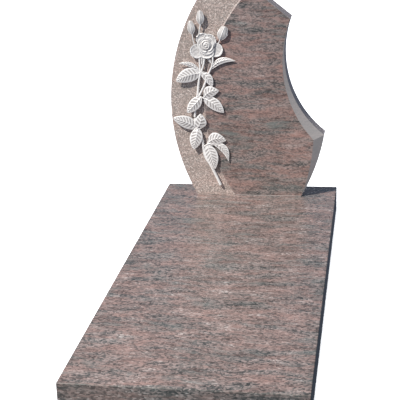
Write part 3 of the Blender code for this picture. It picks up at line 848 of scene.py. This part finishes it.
def budWidth(t, crown):
    # narrow at the stem, full below the middle, drawn in to a blunt top
    fullest = 0.42
    if t < fullest:
        return 0.16 + 0.84 * math.sin(math.pi / 2 * max(0.0, t) / fullest) ** 0.9
    return 1 - (1 - crown) * ((t - fullest) / 0.58) ** 1.6


def makeBud(baseU, baseV, tipU, tipV, width, out, crown, sepals=budSepals):
    base, tip = sprayPoint(baseU, baseV, out), sprayPoint(tipU, tipV, out)
    length = (tip - base).length
    forward, side, outwards = bladeFrame(base, tip)
    span = width * spray["height"]
    low, added = tones["bud"]

    def skin(t, angle, lift):
        swell = budWidth(t, crown) * span / 2 - bud["skinInset"]
        reach = side * math.cos(angle) + outwards * math.sin(angle) * spray["budDepth"]
        return base + forward * length * t + reach * (swell + lift)

    def core(t, s):
        # three petals wound round each other
        turns = 3 * (s / 2 + 0.5) + 0.9 * t
        fold = turns - math.floor(turns)
        edge = smoothStep(0.0, 0.12, fold)
        lift = -bud["foldDip"] * (1 - edge) + bud["foldRise"] * fold
        top = 1 - smoothStep(0.96, 1.0, t)
        point = skin(0.02 + 0.94 * t, math.pi * s, lift)
        axis = base + forward * length * (0.02 + 0.94 * t)
        return axis + (point - axis) * top, low + added * smoothStep(0.80, 1.0, fold)

    parts = [shapeGrid(*bud["coreGrid"], core, None)]
    for middle, spread, tall, curl in sepals:
        def sepal(t, s, middle=middle, spread=spread, tall=tall, curl=curl):
            half = math.radians(spread) * (math.sin(math.pi * t ** 0.70) ** 0.8 + 0.06)
            crest = bud["sepalCrown"] * (1 - s * s) * math.sin(math.pi * t) ** 0.5
            lift = bud["sepalLift"] + crest + curl * smoothStep(0.6, 1.0, t)
            return skin(0.03 + 0.96 * tall * t, math.radians(middle) + half * s, lift), 1.0

        parts.append(shapeGrid(*bud["sepalGrid"], sepal, bud["sepalWall"]))
    return parts


def makeStemLine(stations, thick, thin):
    # a drawn line given a round section, thick at its start and thin at its end
    deselectAll()
    bpy.ops.curve.primitive_bezier_curve_add()
    line = bpy.context.object
    spline = line.data.splines[0]
    spline.bezier_points.add(len(stations) - 2)
    for number, (point, station) in enumerate(zip(spline.bezier_points, stations)):
        point.co = sprayPoint(*station)
        point.handle_left_type = point.handle_right_type = "AUTO"
        point.radius = thick + (thin - thick) * number / (len(stations) - 1)
    line.data.bevel_depth = 1.0
    line.data.bevel_resolution = 4
    line.data.resolution_u = 8
    line.data.use_fill_caps = True
    line.data.twist_mode = "Z_UP"
    pick(line)
    bpy.ops.object.convert(target="MESH")
    tube = settle(bpy.context.object)
    shadeRelief(tube, [tones["stem"]] * len(tube.data.vertices))
    return tube


def makeThorn(across, up, way):
    deselectAll()
    place = sprayPoint(across, up, thorn["out"])
    bpy.ops.mesh.primitive_cone_add(
        vertices=10, radius1=thorn["foot"], radius2=thorn["point"], depth=thorn["length"],
        location=place, rotation=(0, way * math.radians(thorn["lean"]), 0))
    spike = settle(bpy.context.object)
    shadeRelief(spike, [tones["thorn"]] * len(spike.data.vertices))
    return spike


castLook = {
    "bright": (0.88, 0.862, 0.845),
    "grey": (0.36, 0.338, 0.330),
    "metallic": 0.20,
    "roughness": 0.42,
    "cloudScale": 70.0,
    "grainScale": 900.0,
    "bumpStrength": 0.35,
    "bumpDepth": 0.0008,
}


def makeCastMetal():
    finish = Finish("silverCast")
    place = finish.node("ShaderNodeTexCoord", out="Object")
    relief = finish.node("ShaderNodeAttribute", {"attribute_name": "relief"}, {}, "Fac")
    cloud = finish.noise(place, castLook["cloudScale"], 5.0, 0.6)
    grain = finish.noise(place, castLook["grainScale"], 3.0, 0.6)
    bright = (relief + (cloud - 0.5) * 0.5 + (grain - 0.5) * 0.25).spread(0.06, 0.95)
    colour = finish.blend(bright, castLook["grey"], castLook["bright"])
    rough = castLook["roughness"] + 0.22 * (1.0 - bright) + (cloud - 0.5) * 0.15
    bump = finish.node("ShaderNodeBump", {}, {
        "Strength": castLook["bumpStrength"],
        "Distance": castLook["bumpDepth"],
        "Height": cloud * 0.5 + grain,
    })
    return finish.set(Base_Color=colour, Roughness=rough, Metallic=castLook["metallic"], Normal=bump)


def makeSpray():
    parts = [makeLeaf(*sizes) for sizes in leaves]
    parts += [makeLeaf(*sizes, **roseSepal) for sizes in roseSepals]
    print("leaves made")
    for number, sizes in enumerate(outerPetals):
        parts.append(makeOuterPetal(*sizes, petal["outerBase"] + petal["outerStep"] * number))
    parts += [makeCupPetal(*sizes) for sizes in cupPetals]
    parts += [makeRolledPetal(*sizes) for sizes in rolledPetals]
    parts.append(makeHeart())
    print("rose made")
    for sizes in buds[:-1]:
        parts += makeBud(*sizes)
    parts += makeBud(*buds[-1], budSepals + [looseSepal])
    for kind, lines in stemLines.items():
        parts += [makeStemLine(stations, *spray[kind]) for stations in lines]
    parts += [makeThorn(*sizes) for sizes in thorns]
    cast = joined(parts, "roseSpray")
    cast.data.materials.clear()
    cast.data.materials.append(makeCastMetal())
    smoothPiece(cast, spray["smoothDegrees"])
    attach(cast, "root")
    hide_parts("rose_ornament")
    return cast


cast = makeSpray()
print("rose spray made", len(cast.data.polygons), "faces")


stage = {
    "floorSize": 80.0,
    "floorZ": -0.001,
    "floorColour": (0.86, 0.86, 0.86),
    "fill": (0.145, 0.185, 0.255),      # the sky's light in the shadows
    # each light: the way it travels, power, colour, spread in degrees
    "key": ((0.625, 0.607, -1.0), 5.2, (1.0, 0.96, 0.90), 1.2),
    "floor": ((0.1, 0.1, -1.0), 7.5, (1.0, 1.0, 1.0), 80),
    "back": ((-0.1, -1.0, -0.12), 0.9, (0.9, 0.95, 1.0), 25),
    "front": ((0.75, 0.66, -0.20), 0.55, (1.0, 0.97, 0.95), 60),
    "side": ((-1.0, 0.3, -0.15), 0.6, (0.95, 0.97, 1.0), 60),
}


def addSun(name, way, power, colour, degrees):
    deselectAll()
    bpy.ops.object.light_add(type="SUN", rotation=Vector(way).to_track_quat("-Z", "Y").to_euler())
    lamp = bpy.context.object
    lamp.name = name
    lamp.data.energy = power
    lamp.data.color = colour
    lamp.data.angle = math.radians(degrees)
    return lamp


def shineOn(lamp, things, state):
    # the lamp lights only these things, or all but them
    group = bpy.data.collections.new(lamp.name + "Receivers")
    for thing in things:
        group.objects.link(thing)
    for entry in group.collection_objects:
        entry.light_linking.link_state = state
    lamp.light_linking.receiver_collection = group


def makeStage():
    deselectAll()
    bpy.ops.mesh.primitive_plane_add(size=stage["floorSize"], location=(0, 0, stage["floorZ"]))
    floor = settle(bpy.context.object)
    floor.name = "floor"
    paint = Finish("floorPaint")
    floor.data.materials.append(paint.set(Base_Color=stage["floorColour"], Roughness=0.9))
    # the floor sends no light back onto the stone
    floor.visible_diffuse = False
    floor.visible_glossy = False

    key = addSun("keyLight", *stage["key"])
    shineOn(key, [floor], "EXCLUDE")
    soft = addSun("floorLight", *stage["floor"])
    shineOn(soft, [floor], "INCLUDE")
    back = addSun("backLight", *stage["back"])
    back.visible_glossy = False
    shineOn(back, [floor], "EXCLUDE")
    front = addSun("frontLight", *stage["front"])
    shineOn(front, [floor, slab], "EXCLUDE")
    side = addSun("sideLight", *stage["side"])
    shineOn(side, [floor, slab], "EXCLUDE")

    # white where the camera sees the sky, bluish fill everywhere else
    world = bpy.data.worlds.new("studio")
    bpy.context.scene.world = world
    world.use_nodes = True
    nodes, links = world.node_tree.nodes, world.node_tree.links
    seen = nodes["Background"]
    seen.inputs["Color"].default_value = (1, 1, 1, 1)
    fill = nodes.new("ShaderNodeBackground")
    fill.inputs["Color"].default_value = (*stage["fill"], 1)
    path = nodes.new("ShaderNodeLightPath")
    both = nodes.new("ShaderNodeMixShader")
    links.new(path.outputs["Is Camera Ray"], both.inputs[0])
    links.new(fill.outputs[0], both.inputs[1])
    links.new(seen.outputs[0], both.inputs[2])
    links.new(both.outputs[0], nodes["World Output"].inputs["Surface"])
    bpy.context.scene.view_settings.view_transform = "Standard"


cameraSettings = {
    "place": (0.574, -3.993, 1.767),
    "ahead": (-0.1546, 0.9324, -0.3266),
    "right": (0.9877, 0.1534, -0.0296),
    "lens": 100.0,
    "sensor": 36.0,
    "clipEnd": 200.0,
}


def makeCamera():
    ahead = Vector(cameraSettings["ahead"]).normalized()
    right = Vector(cameraSettings["right"]).normalized()
    upwards = right.cross(ahead).normalized()
    turn = Matrix((right, upwards, -ahead)).transposed()
    deselectAll()
    bpy.ops.object.camera_add(location=cameraSettings["place"], rotation=turn.to_euler())
    camera = bpy.context.object
    camera.name = "photoCamera"
    camera.data.lens = cameraSettings["lens"]
    camera.data.sensor_width = cameraSettings["sensor"]
    camera.data.clip_end = cameraSettings["clipEnd"]
    bpy.context.scene.camera = camera


makeStage()
makeCamera()
print("stage, lights and camera made")
